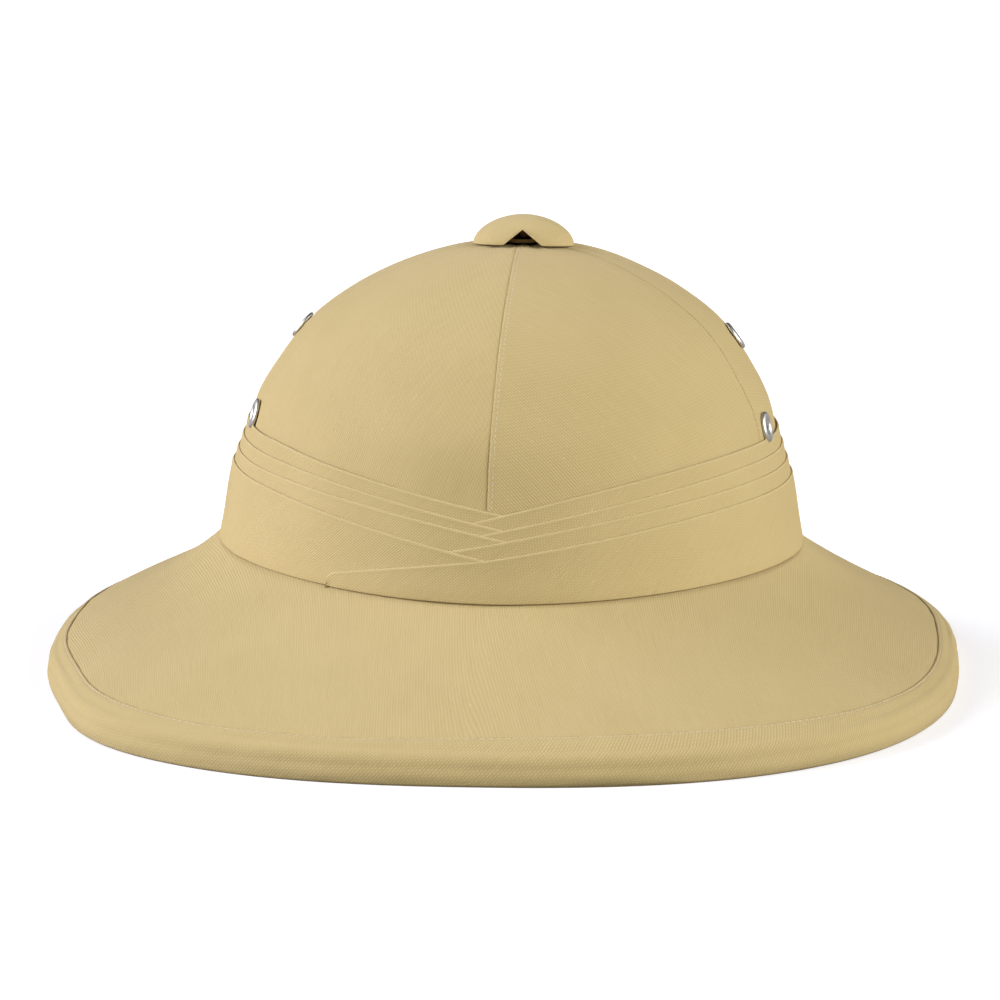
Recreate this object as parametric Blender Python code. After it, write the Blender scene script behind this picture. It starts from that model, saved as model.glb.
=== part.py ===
"""Pith helmet: a moulded hollow shell, cloth panels, a bound brim, a folded band, vents and a top button.

Metres, +Z up, the front towards -Y. The origin is on the floor, under the middle of the brim.
Angles go round the crown from the front: 0 is the front, +90 degrees is +X, 180 is the back.
"""
import math

import bmesh
import bpy
from mathutils import Vector

MM = 0.001
GAP = 0.3 * MM

# Brim
BRIM_WIDTH = 318 * MM
BRIM_LENGTH = 380 * MM
BRIM_POWER = 2.45
FLAT_AT = math.radians(-70)
FLAT_REACH = math.radians(14)
FLAT_SHARE = 0.03
EDGE_HEIGHT = 9.5 * MM
BRIM_SAG = (-2.0 * MM, 0.3 * MM)
BRIM_SKEW = (2.6 * MM, -1.3 * MM)
BRIM_ROWS = (0.1, 0.34, 0.62)

# Crown
FOOT_HEIGHT = 48.1 * MM
CROWN_HEIGHT = 103.3 * MM
LENGTH_TO_WIDTH = 1.16
NARROWER_AT_FRONT = 0.12
CROWN_CENTRE = (2.4 * MM, -3.8 * MM)
CROWN_LEAN = 4.4 * MM
LEAN_POWER = 2.2
CROWN_TIP = 0.014
VENT_HOLE_RADIUS = 6 * MM

# Sections of the bare crown: height above its foot, half width
CROWN_SECTIONS = [
    (0, 98.5),
    (7, 97.2),
    (16, 95.8),
    (31, 92.6),
    (46, 89.2),
    (62, 80.5),
    (74, 71.5),
    (86, 56.5),
    (95, 39.5),
    (101, 21.5),
    (103.3, 0),
]

# Walls
CLOTH = 1.0 * MM
SHELL_WALL = 3.0 * MM
SHELL_JOINT = 3.5 * MM

# Cloth panels: the angle of each seam, and the columns from it to the next seam
PANEL_SEAMS = [
    (0, 9),
    (78, 5),
    (125, 7),
    (180, 7),
    (235, 5),
    (282, 9),
]

# Binding of the brim's edge
SEAM_INSET = 9.2 * MM
BINDING_HEM = 5.5 * MM
EDGE_ROUNDING = 1.8 * MM
HEM_ROUNDING = 0.7 * MM

# Folds of the band: name, height of the upper edge above the crown's foot at the sides,
# its drop at the front, the angle at which its two ends cross there, thickness
PAGRI_FOLDS = [
    ("pagri_pleat_top", 38.7, 12.3, 2.8, 1.0),
    ("pagri_pleat_middle", 33.2, 11.6, 2.8, 1.4),
    ("pagri_pleat_lower", 28.4, 10.2, 3.5, 1.8),
    ("pagri_wrap", 23.3, 11.2, -1.0, 2.2),
]
FOLD_STAND_OFF = 0.4 * MM
CROSSING_REACH = math.radians(68)
CROSSING_SPREAD = math.radians(20)
CROSSING_STEP = math.radians(2)
TUCK_ANGLE = math.radians(-34)
THINNEST_TIP = 0.5 * MM

# Vents: name, angle, height of the centre above the crown's foot
VENTS = [
    ("right_front", 83.5, 42.4),
    ("right_top", 102, 69.5),
    ("right_rear", 118.5, 42.4),
    ("left_front", -83.5, 42.4),
    ("left_top", -102, 69.5),
    ("left_rear", -118.5, 42.4),
]
EYELET_RADIUS = 5.4 * MM
EYELET_BORE = 2.4 * MM
EYELET_WALL = 0.6 * MM
EYELET_RISE = 1.3 * MM
EYELET_SIDES = 12
VENT_CUT_DEPTH = 8 * MM
VENT_CUT_RISE = 5 * MM
VENT_CLEARANCE = 0.42 * MM

# Top button and its post
BUTTON_RADIUS = 17.5 * MM
BUTTON_DEPTH_SHARE = 0.89
BUTTON_BACK = 1.5 * MM
BUTTON_HEIGHT = 9.3 * MM
BUTTON_WALL = 2.0 * MM
BUTTON_POWER = 1.85
BUTTON_SIDES = 22
BUTTON_ROWS = (0.0, 0.2, 0.44, 0.72)
NOTCH_WIDTH = 13.5 * MM
NOTCH_HEIGHT = 5.6 * MM
NOTCH_OVERSHOOT = 5 * MM
POST_RADIUS = 2.2 * MM
WASHER_RADIUS = 8 * MM
WASHER_THICKNESS = 1.2 * MM
POST_SIDES = 12

# Finishes: base colour, roughness, metallic
COTTON = ((0.62, 0.50, 0.23), 0.9, 0.0)
PITH = ((0.66, 0.56, 0.36), 0.95, 0.0)
NICKEL = ((0.75, 0.74, 0.70), 0.25, 1.0)
BRASS = ((0.72, 0.50, 0.20), 0.3, 1.0)


def material(name, finish):
    colour, roughness, metallic = finish
    made = bpy.data.materials.get(name)
    if made:
        return made
    made = bpy.data.materials.new(name)
    made.use_nodes = True
    shader = made.node_tree.nodes["Principled BSDF"]
    shader.inputs["Base Color"].default_value = (*colour, 1)
    shader.inputs["Roughness"].default_value = roughness
    shader.inputs["Metallic"].default_value = metallic
    return made


def oval(angle, half_width, half_length, power=2.0):
    """A point of an oval round the Z axis, an ellipse at power 2 and squarer above it."""
    s = math.sin(angle)
    c = math.cos(angle)
    x = half_width * math.copysign(abs(s) ** (2 / power), s)
    y = -half_length * math.copysign(abs(c) ** (2 / power), c)
    return x, y


def section_slopes(heights, values):
    """Slopes of a smooth curve through the sections that never overshoots them."""
    steps = [b - a for a, b in zip(heights, heights[1:])]
    rises = [(b - a) / step for a, b, step in zip(values, values[1:], steps)]
    slopes = [rises[0]]
    for before, after in zip(rises, rises[1:]):
        slopes.append(2 * before * after / (before + after) if before * after > 0 else 0.0)
    slopes.append(rises[-1])
    return slopes


SECTION_HEIGHTS = [height * MM for height, _ in CROWN_SECTIONS]
SECTION_SQUARES = [(half * MM) ** 2 for _, half in CROWN_SECTIONS]
SECTION_SLOPES = section_slopes(SECTION_HEIGHTS, SECTION_SQUARES)


def half_width(height):
    """The bare crown's half width at a height above its foot. Its square is the smooth curve."""
    height = min(max(height, 0.0), SECTION_HEIGHTS[-1])
    k = max(i for i in range(len(SECTION_HEIGHTS) - 1) if SECTION_HEIGHTS[i] <= height)
    step = SECTION_HEIGHTS[k + 1] - SECTION_HEIGHTS[k]
    u = (height - SECTION_HEIGHTS[k]) / step
    start = (1 + 2 * u) * (1 - u) ** 2 * SECTION_SQUARES[k] + u * (1 - u) ** 2 * step * SECTION_SLOPES[k]
    end = u * u * (3 - 2 * u) * SECTION_SQUARES[k + 1] + u * u * (u - 1) * step * SECTION_SLOPES[k + 1]
    return math.sqrt(max(start + end, 0.0))


def height_of_half_width(wanted):
    """The height above the foot at which the crown has this half width."""
    low = 0.0
    high = SECTION_HEIGHTS[-1]
    for _ in range(50):
        middle = (low + high) / 2
        if half_width(middle) > wanted:
            low = middle
        else:
            high = middle
    return low


def crown_surface(angle, height):
    """A point of the bare crown: an egg in plan, leaning and tipped a little towards +X."""
    half = half_width(height)
    x, y = oval(angle, half, half * LENGTH_TO_WIDTH)
    x *= 1 - NARROWER_AT_FRONT * math.cos(angle)
    lean = CROWN_LEAN * (max(height, 0.0) / CROWN_HEIGHT) ** LEAN_POWER
    return Vector((CROWN_CENTRE[0] + lean + x, CROWN_CENTRE[1] + y, FOOT_HEIGHT + height - CROWN_TIP * x))


def rim_oval(angle):
    """The brim's outline in plan, a little flatter at the front of its -X side."""
    x, y = oval(angle, BRIM_WIDTH / 2, BRIM_LENGTH / 2, BRIM_POWER)
    off = math.remainder(angle - FLAT_AT, 2 * math.pi) / FLAT_REACH
    kept = 1 - FLAT_SHARE * math.exp(-off * off)
    return x * kept, y * kept


def brim_surface(angle, out):
    """A point of the brim's upper surface, from the crown's foot at 0 to the rim at 1."""
    foot = crown_surface(angle, 0.0)
    rim = Vector((*rim_oval(angle), EDGE_HEIGHT))
    point = foot.lerp(rim, out)
    sag = BRIM_SAG[0] + BRIM_SAG[1] * math.sin(angle)
    skew = BRIM_SKEW[0] + BRIM_SKEW[1] * math.sin(angle)
    point.z += 4 * out * (1 - out) * (sag + skew * (2 * out - 1))
    return point


def outward(angle):
    """The level direction square to the rim."""
    step = 0.002
    ahead = Vector((*rim_oval(angle + step), 0))
    behind = Vector((*rim_oval(angle - step), 0))
    along = (ahead - behind).normalized()
    return Vector((along.y, -along.x, 0))


def crown_normal(angle, height):
    turn = 0.002
    lift = 0.2 * MM
    low = max(height - lift, 0.0)
    high = min(height + lift, height_of_half_width(1 * MM))
    along = crown_surface(angle + turn, height) - crown_surface(angle - turn, height)
    up = crown_surface(angle, high) - crown_surface(angle, low)
    return along.cross(up).normalized()


def brim_normal(angle, out):
    turn = 0.002
    step = 0.01
    along = brim_surface(angle + turn, out) - brim_surface(angle - turn, out)
    inward = brim_surface(angle, max(out - step, 0.0)) - brim_surface(angle, min(out + step, 1.0))
    return along.cross(inward).normalized()


def crown_point(angle, height, offset=0.0):
    return crown_surface(angle, height) + offset * crown_normal(angle, height)


def brim_point(angle, out, offset=0.0):
    return brim_surface(angle, out) + offset * brim_normal(angle, out)


def corner(point, first, first_offset, second, second_offset):
    """The point this far from two planes that meet at a point, each given by its normal."""
    facing = first.dot(second)
    across = first_offset * (first - facing * second) + second_offset * (second - facing * first)
    return point + across / (1 - facing * facing)


def foot_corner(angle, from_crown, from_brim):
    """A point in the angle between the crown's wall and the brim."""
    wall = crown_normal(angle, 0.0)
    return corner(crown_surface(angle, 0.0), wall, from_crown, brim_normal(angle, 0.0), from_brim)


def rim_corner(angle, from_edge, from_brim):
    """A point at the brim's edge, by its distances from the edge's face and from the upper surface."""
    rim = brim_surface(angle, 1.0)
    return corner(rim, outward(angle), from_edge, brim_normal(angle, 1.0), from_brim)


def edge_top(angle, offset):
    """Where the brim's upper surface starts to round over into the edge."""
    return brim_point(angle, seam_share(angle, EDGE_ROUNDING), offset)


def edge_side(angle, offset):
    """Where that rounding ends, on the face of the edge."""
    return brim_surface(angle, 1.0) + offset * outward(angle) - Vector((0, 0, EDGE_ROUNDING))


def seam_share(angle, inset):
    """How far out along the brim a line lies that runs a fixed distance inside the rim."""
    width = (brim_surface(angle, 1.0) - brim_surface(angle, 0.0)).length
    return 1 - inset / width


def brim_outs(angle):
    """The brim's rows, of which the last is where its cloth meets the binding."""
    return [*BRIM_ROWS, seam_share(angle, SEAM_INSET + GAP)]


def link(name, mesh, finish_name, finish):
    mesh.materials.append(material(finish_name, finish))
    made = bpy.data.objects.new(name, mesh)
    bpy.context.scene.collection.objects.link(made)
    return made


def finish_mesh(name, build, sharp_degrees):
    bmesh.ops.recalc_face_normals(build, faces=build.faces)
    mesh = bpy.data.meshes.new(name)
    build.to_mesh(mesh)
    build.free()
    mesh.shade_smooth()
    mesh.set_sharp_from_angle(angle=math.radians(sharp_degrees))
    return mesh


def sweep(name, columns, whole_turn, sharp_degrees=40):
    """A closed wall through columns, each a loop of an outer line and, back along it, an inner line."""
    build = bmesh.new()
    rows = [[build.verts.new(point) for point in column] for column in columns]
    count = len(rows[0])
    pairs = list(zip(rows, rows[1:]))
    if whole_turn:
        pairs.append((rows[-1], rows[0]))
    for near, far in pairs:
        for i in range(count):
            j = (i + 1) % count
            build.faces.new((near[i], near[j], far[j], far[i]))
    if not whole_turn:
        for end in (rows[0], rows[-1]):
            for i in range(count // 2 - 1):
                build.faces.new((end[i], end[i + 1], end[count - 2 - i], end[count - 1 - i]))
    return finish_mesh(name, build, sharp_degrees)


def rings_mesh(name, rings, first_pole=None, last_pole=None, sharp_degrees=40):
    """A closed solid through rings of points, ended by two poles, or turned back to its first ring."""
    build = bmesh.new()
    rows = [[build.verts.new(point) for point in ring] for ring in rings]
    sides = len(rows[0])
    pairs = list(zip(rows, rows[1:]))
    if first_pole is None:
        pairs.append((rows[-1], rows[0]))
    for low, high in pairs:
        for i in range(sides):
            j = (i + 1) % sides
            build.faces.new((low[i], low[j], high[j], high[i]))
    if first_pole is not None:
        for pole, ring in ((first_pole, rows[0]), (last_pole, rows[-1])):
            tip = build.verts.new(pole)
            for i in range(sides):
                build.faces.new((tip, ring[i], ring[(i + 1) % sides]))
    return finish_mesh(name, build, sharp_degrees)


def turned(name, profile, sides, first_pole=None, last_pole=None):
    """A turned solid round its own Z axis, from (radius, height) pairs."""
    rings = []
    for radius, height in profile:
        turns = [2 * math.pi * k / sides for k in range(sides)]
        rings.append([Vector((radius * math.cos(a), radius * math.sin(a), height)) for a in turns])
    return rings_mesh(name, rings, first_pole, last_pole)


def column_angles():
    """The angles of the columns that every cloth and the shell share, seam to seam."""
    angles = []
    for (start, columns), (end, _) in zip(PANEL_SEAMS, PANEL_SEAMS[1:] + [(360, 0)]):
        angles += [math.radians(start + (end - start) * k / columns) for k in range(columns)]
    return angles


def crown_heights():
    """Heights of the crown's rows, from the first above the foot up to the hole at its top."""
    return SECTION_HEIGHTS[1:-1] + [height_of_half_width(VENT_HOLE_RADIUS)]


def make_crown_shell():
    """The moulded crown, from its joint with the brim's form up to the hole at its top, in two rings."""
    outer = -(CLOTH + GAP)
    inner = outer - SHELL_WALL
    rows = crown_heights()
    wall = [SHELL_JOINT, rows[1], rows[3], rows[4] - GAP / 2]
    dome = [rows[4] + GAP / 2] + rows[5:]
    for name, heights in (("crown_shell_wall", wall), ("crown_shell_dome", dome)):
        columns = []
        for angle in column_angles():
            outside = [crown_point(angle, height, outer) for height in heights]
            inside = [crown_point(angle, height, inner) for height in heights]
            columns.append(outside + inside[::-1])
        link(name, sweep(name, columns, True), "moulded_pith", PITH)


def make_brim_shell():
    """The moulded brim: it turns up at the crown's foot, and down at the rim."""
    outer = -(CLOTH + GAP)
    inner = outer - SHELL_WALL
    top = SHELL_JOINT - GAP
    columns = []
    for angle in column_angles():
        side = outward(angle)
        rim = brim_surface(angle, 1.0)
        outs = brim_outs(angle)
        column = [crown_point(angle, top, outer), foot_corner(angle, outer, outer)]
        column += [brim_point(angle, out, outer) for out in outs]
        column.append(edge_top(angle, outer))
        column.append(edge_side(angle, outer))
        column.append(Vector((rim.x, rim.y, CLOTH + GAP)) + outer * side)
        column.append(Vector((rim.x, rim.y, CLOTH + GAP)) + inner * side)
        column.append(rim_corner(angle, inner, inner))
        column += [brim_point(angle, out, inner) for out in reversed(outs)]
        column += [foot_corner(angle, inner, inner), crown_point(angle, top, inner)]
        columns.append(column)
    link("brim_shell", sweep("brim_shell", columns, True), "moulded_pith", PITH)


def make_crown_panels():
    """Six gores of cloth, each from one seam to the next."""
    heights = crown_heights()
    half_gap = GAP / 2 / half_width(0.0)
    ends = PANEL_SEAMS[1:] + [(360, 0)]
    for number, ((start, count), (end, _)) in enumerate(zip(PANEL_SEAMS, ends), 1):
        columns = []
        for k in range(count + 1):
            angle = math.radians(start + (end - start) * k / count)
            angle += half_gap if k == 0 else 0.0
            angle -= half_gap if k == count else 0.0
            outside = [foot_corner(angle, 0.0, GAP)]
            outside += [crown_point(angle, height) for height in heights]
            inside = [foot_corner(angle, -CLOTH, GAP)]
            inside += [crown_point(angle, height, -CLOTH) for height in heights]
            columns.append(outside + inside[::-1])
        name = f"crown_panel_{number}"
        link(name, sweep(name, columns, False), "khaki_cotton", COTTON)


def make_brim_cover():
    """The cloth over the top of the brim, from the crown's wall to the binding's seam."""
    columns = []
    for angle in column_angles():
        outs = brim_outs(angle)
        top = [foot_corner(angle, -CLOTH, 0.0)] + [brim_point(angle, out) for out in outs]
        under = [foot_corner(angle, -CLOTH, -CLOTH)] + [brim_point(angle, out, -CLOTH) for out in outs]
        columns.append(top + under[::-1])
    link("brim_cover", sweep("brim_cover", columns, True), "khaki_cotton", COTTON)


def make_brim_binding():
    """The strip round the brim's edge: over the top, down the face, under the lip and up inside it."""
    columns = []
    for angle in column_angles():
        side = outward(angle)
        up = Vector((0, 0, 1))
        rim = brim_surface(angle, 1.0)
        floor = Vector((rim.x, rim.y, 0))
        lip = 2 * CLOTH + 2 * GAP + SHELL_WALL
        seam = seam_share(angle, SEAM_INSET)
        half = seam_share(angle, SEAM_INSET / 2)
        outside = [
            brim_point(angle, seam),
            brim_point(angle, half),
            edge_top(angle, 0.0),
            edge_side(angle, 0.0),
            floor + HEM_ROUNDING * up,
            floor - HEM_ROUNDING * side,
            floor - (lip - HEM_ROUNDING) * side,
            floor - lip * side + HEM_ROUNDING * up,
            floor - lip * side + BINDING_HEM * up,
        ]
        inside = [
            brim_point(angle, seam, -CLOTH),
            brim_point(angle, half, -CLOTH),
            edge_top(angle, -CLOTH),
            edge_side(angle, -CLOTH),
            floor - CLOTH * side + 2 * CLOTH * up,
            floor - CLOTH * side + CLOTH * up,
            floor - (lip - CLOTH) * side + CLOTH * up,
            floor - (lip - CLOTH) * side + 2 * CLOTH * up,
            floor - (lip - CLOTH) * side + BINDING_HEM * up,
        ]
        columns.append(outside + inside[::-1])
    link("brim_binding", sweep("brim_binding", columns, True), "khaki_cotton", COTTON)


def fold_line(fold, angle, towards):
    """Height above the crown's foot of a fold's upper edge, of its end on the +X side (1) or the other (-1).

    It runs level round the back and the sides, falls to the crossing at the front, and goes straight on past it.
    """
    _, side_height, drop, crossing_degrees, _ = fold
    turn = math.remainder(angle - math.radians(crossing_degrees), 2 * math.pi) * towards
    if turn < -math.pi / 2:
        return side_height * MM
    past = turn / CROSSING_REACH
    share = (1 - min(past, 1.0)) ** 2 if past > 0 else 1 - 2 * past
    return (side_height - drop * share) * MM


def angle_where(difference, low, high):
    """The angle at which a rising difference reaches the least height of a fold's tip."""
    for _ in range(40):
        middle = (low + high) / 2
        if difference(middle) > THINNEST_TIP + GAP:
            high = middle
        else:
            low = middle
    return high


def fold_ends(fold, below):
    """The angles of a fold's +X end, which laps over, and of its other end, a full turn on."""
    crossing = math.radians(fold[3])
    end = 2 * math.pi - angle_where(
        lambda turn: fold_line(fold, -turn, -1) - fold_line(fold, -turn, 1),
        -crossing - CROSSING_SPREAD,
        -crossing + CROSSING_SPREAD,
    )
    if not below:
        return TUCK_ANGLE, end
    start = angle_where(
        lambda turn: fold_line(fold, turn, 1) - fold_line(below, turn, -1),
        crossing - CROSSING_SPREAD,
        crossing + CROSSING_SPREAD,
    )
    return start, end


def fold_columns(start, end):
    """The shared column angles between two ends, with finer steps near the crossing at the front."""
    step = CROSSING_STEP
    angles = [a + turn for turn in (-2 * math.pi, 0, 2 * math.pi) for a in column_angles()]
    angles += [turn + step * k for turn in (0, 2 * math.pi) for k in range(-3, 5)]
    inside = sorted(a for a in angles if start + step / 2 < a < end - step / 2)
    kept = [start]
    for angle in inside:
        if angle - kept[-1] > step / 3:
            kept.append(angle)
    return kept + [end]


def fold_section(angle, top, bottom, thickness, steps):
    """One column of a fold: its outer line and its inner line, from its upper edge to the one below."""
    inner = FOLD_STAND_OFF
    outer = inner + thickness
    upper = top - GAP / 2
    lower = bottom + GAP / 2
    heights = [upper + (lower - upper) * k / steps for k in range(steps + 1)]
    outside = [crown_point(angle, height, outer) for height in heights]
    inside = [crown_point(angle, height, inner) for height in heights]
    if bottom <= 0:
        outside[-1] = foot_corner(angle, outer, 2 * GAP)
        inside[-1] = foot_corner(angle, inner, 2 * GAP)
    return outside + inside[::-1]


def make_pagri():
    """Four folds of the band, each from its tip at the front, round the back, to the crossing again.

    The end on the +X side of each laps over the other end, so it shows past the crossing.
    """
    for number, fold in enumerate(PAGRI_FOLDS):
        name = fold[0]
        below = PAGRI_FOLDS[number + 1] if number + 1 < len(PAGRI_FOLDS) else None
        start, end = fold_ends(fold, below)
        columns = []
        for angle in fold_columns(start, end):
            lapping = angle < math.pi
            top = fold_line(fold, angle, 1 if lapping else -1)
            edges = [0.0]
            if below:
                edges += [fold_line(below, angle, 1), fold_line(below, angle, -1)]
            if angle > start + 2 * math.pi - CROSSING_SPREAD:
                edges.append(fold_line(fold, angle, 1))
            columns.append(fold_section(angle, top, max(edges), fold[4] * MM, 1 if below else 2))
        link(name, sweep(name, columns, False), "khaki_cotton", COTTON)


def vent_frame(angle, height):
    """Where a vent sits on the crown, and the direction it faces."""
    turn = math.radians(angle)
    return crown_surface(turn, height * MM), crown_normal(turn, height * MM)


def make_vents():
    """Metal eyelets through the cloth and the shell: a barrel with a rounded flange at each end."""
    barrel = EYELET_BORE + EYELET_WALL
    inside_end = -(CLOTH + GAP + SHELL_WALL + 3 * GAP)
    seat = GAP
    crest = (EYELET_RADIUS + barrel) / 2
    profile = [
        (EYELET_BORE, inside_end - EYELET_WALL),
        (barrel + EYELET_WALL, inside_end - EYELET_WALL),
        (barrel + EYELET_WALL, inside_end),
        (barrel, inside_end),
        (barrel, seat),
        (EYELET_RADIUS, seat),
        (crest, seat + EYELET_RISE),
        (barrel, seat + EYELET_RISE * 0.85),
        (EYELET_BORE, seat),
    ]
    mesh = turned("eyelet", profile, EYELET_SIDES)
    mesh.materials.append(material("nickel", NICKEL))
    for name, angle, height in VENTS:
        place, facing = vent_frame(angle, height)
        eyelet = bpy.data.objects.new(f"eyelet_{name}", mesh)
        eyelet.location = place
        eyelet.rotation_euler = facing.to_track_quat("Z", "Y").to_euler()
        bpy.context.scene.collection.objects.link(eyelet)


def vent_cutter(name, radius, low, high, chosen):
    """One hidden cutter made of a straight plug for each chosen vent."""
    build = bmesh.new()
    for vent_name, angle, height in VENTS:
        if not chosen(vent_name):
            continue
        place, facing = vent_frame(angle, height)
        placed = facing.to_track_quat("Z", "Y").to_matrix().to_4x4()
        placed.translation = place + facing * (low + high) / 2
        bmesh.ops.create_cone(
            build,
            cap_ends=True,
            segments=EYELET_SIDES,
            radius1=radius,
            radius2=radius,
            depth=high - low,
            matrix=placed,
        )
    mesh = finish_mesh(name, build, 40)
    cutter = bpy.data.objects.new(name, mesh)
    bpy.context.scene.collection.objects.link(cutter)
    cutter.hide_render = True
    cutter.display_type = "WIRE"
    return cutter


def cut(name, cutter):
    modifier = bpy.data.objects[name].modifiers.new(cutter.name, "BOOLEAN")
    modifier.operation = "DIFFERENCE"
    modifier.object = cutter


def cut_vents():
    """Holes for the barrels, and room in the band's upper fold where the lower flanges lie."""
    barrel = EYELET_BORE + EYELET_WALL
    plug = barrel + VENT_CLEARANCE
    holes = vent_cutter("vent_holes", plug, -VENT_CUT_DEPTH, VENT_CUT_RISE, lambda name: True)
    for name in ("crown_shell_wall", "crown_shell_dome", "crown_panel_2", "crown_panel_5"):
        cut(name, holes)
    plug = EYELET_RADIUS + VENT_CLEARANCE
    room = vent_cutter("flange_room", plug, -GAP, VENT_CUT_RISE, lambda name: "top" not in name)
    cut("pagri_pleat_top", room)


def button_centre():
    return Vector((CROWN_CENTRE[0] + CROWN_LEAN, CROWN_CENTRE[1] + BUTTON_BACK, FOOT_HEIGHT + CROWN_HEIGHT))


def crown_top_at(x, y):
    """Height of the crown under a point near its top, given from the button's centre."""
    spread = math.hypot(x, (y + BUTTON_BACK) / LENGTH_TO_WIDTH)
    return FOOT_HEIGHT + height_of_half_width(spread) - CROWN_TIP * x


def button_ring(share, wall):
    """A ring of the cap, from its rim at share 0 to near its top at 1. The rim follows the crown."""
    centre = button_centre()
    spread = math.cos(share * math.pi / 2) ** (2 / BUTTON_POWER)
    lift = math.sin(share * math.pi / 2) ** (2 / BUTTON_POWER)
    points = []
    for k in range(BUTTON_SIDES):
        turn = 2 * math.pi * k / BUTTON_SIDES
        x = (BUTTON_RADIUS - wall) * math.cos(turn)
        y = (BUTTON_RADIUS * BUTTON_DEPTH_SHARE - wall) * math.sin(turn)
        seat = crown_top_at(x, y) + 1.5 * GAP
        top = centre.z + BUTTON_HEIGHT - wall
        points.append(Vector((centre.x + x * spread, centre.y + y * spread, seat + (top - seat) * lift)))
    return points


def make_top_button():
    """A hollow cloth-covered cap with an air notch at its front."""
    centre = button_centre()
    rings = [button_ring(share, 0.0) for share in reversed(BUTTON_ROWS)]
    rings += [button_ring(share, BUTTON_WALL) for share in BUTTON_ROWS]
    top = centre + Vector((0, 0, BUTTON_HEIGHT))
    under = centre + Vector((0, 0, BUTTON_HEIGHT - BUTTON_WALL))
    link("top_button", rings_mesh("top_button", rings, top, under), "khaki_cotton", COTTON)
    reach = BUTTON_RADIUS * BUTTON_DEPTH_SHARE
    front = crown_top_at(0, -reach)
    build = bmesh.new()
    ends = []
    for y in (-reach - NOTCH_OVERSHOOT, -reach / 2):
        corners = [
            (-NOTCH_WIDTH / 2, front),
            (-NOTCH_WIDTH / 2, front - NOTCH_OVERSHOOT),
            (NOTCH_WIDTH / 2, front - NOTCH_OVERSHOOT),
            (NOTCH_WIDTH / 2, front),
            (0, front + NOTCH_HEIGHT),
        ]
        ends.append([build.verts.new((centre.x + x, centre.y + y, z)) for x, z in corners])
    near, far = ends
    build.faces.new(near)
    build.faces.new(far[::-1])
    for i in range(len(near)):
        j = (i + 1) % len(near)
        build.faces.new((near[i], near[j], far[j], far[i]))
    cutter = bpy.data.objects.new("notch", finish_mesh("notch", build, 40))
    bpy.context.scene.collection.objects.link(cutter)
    cutter.hide_render = True
    cutter.display_type = "WIRE"
    cut("top_button", cutter)


def make_button_post():
    """The plain brass post through the crown's top hole, with a washer above it and one inside."""
    centre = button_centre()
    upper_seat = GAP
    inside = crown_point(0.0, height_of_half_width(WASHER_RADIUS), -(CLOTH + GAP + SHELL_WALL))
    lower_seat = inside.z - centre.z - 3 * GAP
    top = BUTTON_HEIGHT - BUTTON_WALL - GAP
    profile = [
        (WASHER_RADIUS, lower_seat - WASHER_THICKNESS),
        (WASHER_RADIUS, lower_seat),
        (POST_RADIUS, lower_seat),
        (POST_RADIUS, upper_seat),
        (WASHER_RADIUS, upper_seat),
        (WASHER_RADIUS, upper_seat + WASHER_THICKNESS),
        (POST_RADIUS, upper_seat + WASHER_THICKNESS),
        (POST_RADIUS, top),
    ]
    mesh = turned("button_post", profile, POST_SIDES, (0, 0, lower_seat - WASHER_THICKNESS), (0, 0, top))
    post = link("button_post", mesh, "brass", BRASS)
    post.location = centre


def main():
    for old in list(bpy.data.objects):
        bpy.data.objects.remove(old, do_unlink=True)
    make_crown_shell()
    make_brim_shell()
    make_crown_panels()
    make_brim_cover()
    make_brim_binding()
    make_pagri()
    make_vents()
    cut_vents()
    make_top_button()
    make_button_post()


main()
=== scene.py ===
"""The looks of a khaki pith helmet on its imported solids: cloth, stitching, metal, light and camera.

Metres, +Z up, the front towards -Y. Turns go round the crown from the front, towards +X.
Every cloth is a grid of points. Its UV map is its place in the flat cloth, in metres.
"""

import math

import bpy
import numpy as np
from mathutils import Matrix, Vector


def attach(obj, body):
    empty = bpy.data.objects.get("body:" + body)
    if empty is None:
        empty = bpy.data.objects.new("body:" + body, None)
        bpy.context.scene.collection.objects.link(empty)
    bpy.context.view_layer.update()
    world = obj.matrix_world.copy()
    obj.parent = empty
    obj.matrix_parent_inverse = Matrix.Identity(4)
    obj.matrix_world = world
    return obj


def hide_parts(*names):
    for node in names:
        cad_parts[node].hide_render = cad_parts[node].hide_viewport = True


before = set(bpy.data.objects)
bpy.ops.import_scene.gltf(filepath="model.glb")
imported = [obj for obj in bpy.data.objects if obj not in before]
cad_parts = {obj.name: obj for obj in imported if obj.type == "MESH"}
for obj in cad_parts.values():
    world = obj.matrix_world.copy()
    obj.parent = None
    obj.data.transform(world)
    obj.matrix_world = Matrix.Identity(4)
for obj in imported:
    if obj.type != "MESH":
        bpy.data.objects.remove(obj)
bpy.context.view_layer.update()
MM = 0.001

# Brim
BRIM_WIDTH = 318 * MM
BRIM_LENGTH = 380 * MM
BRIM_POWER = 2.45
FLAT_AT = math.radians(-70)
FLAT_REACH = math.radians(14)
FLAT_SHARE = 0.03
EDGE_HEIGHT = 9.5 * MM
BRIM_SAG = (-2.0 * MM, 0.3 * MM)
BRIM_SKEW = (2.6 * MM, -1.3 * MM)

# Crown
FOOT_HEIGHT = 48.1 * MM
CROWN_HEIGHT = 103.3 * MM
LENGTH_TO_WIDTH = 1.16
MEAN_RADIUS_SHARE = 1.08
NARROWER_AT_FRONT = 0.12
CROWN_CENTRE = (2.4 * MM, -3.8 * MM)
CROWN_LEAN = 4.4 * MM
LEAN_POWER = 2.2
CROWN_TIP = 0.014

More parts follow.
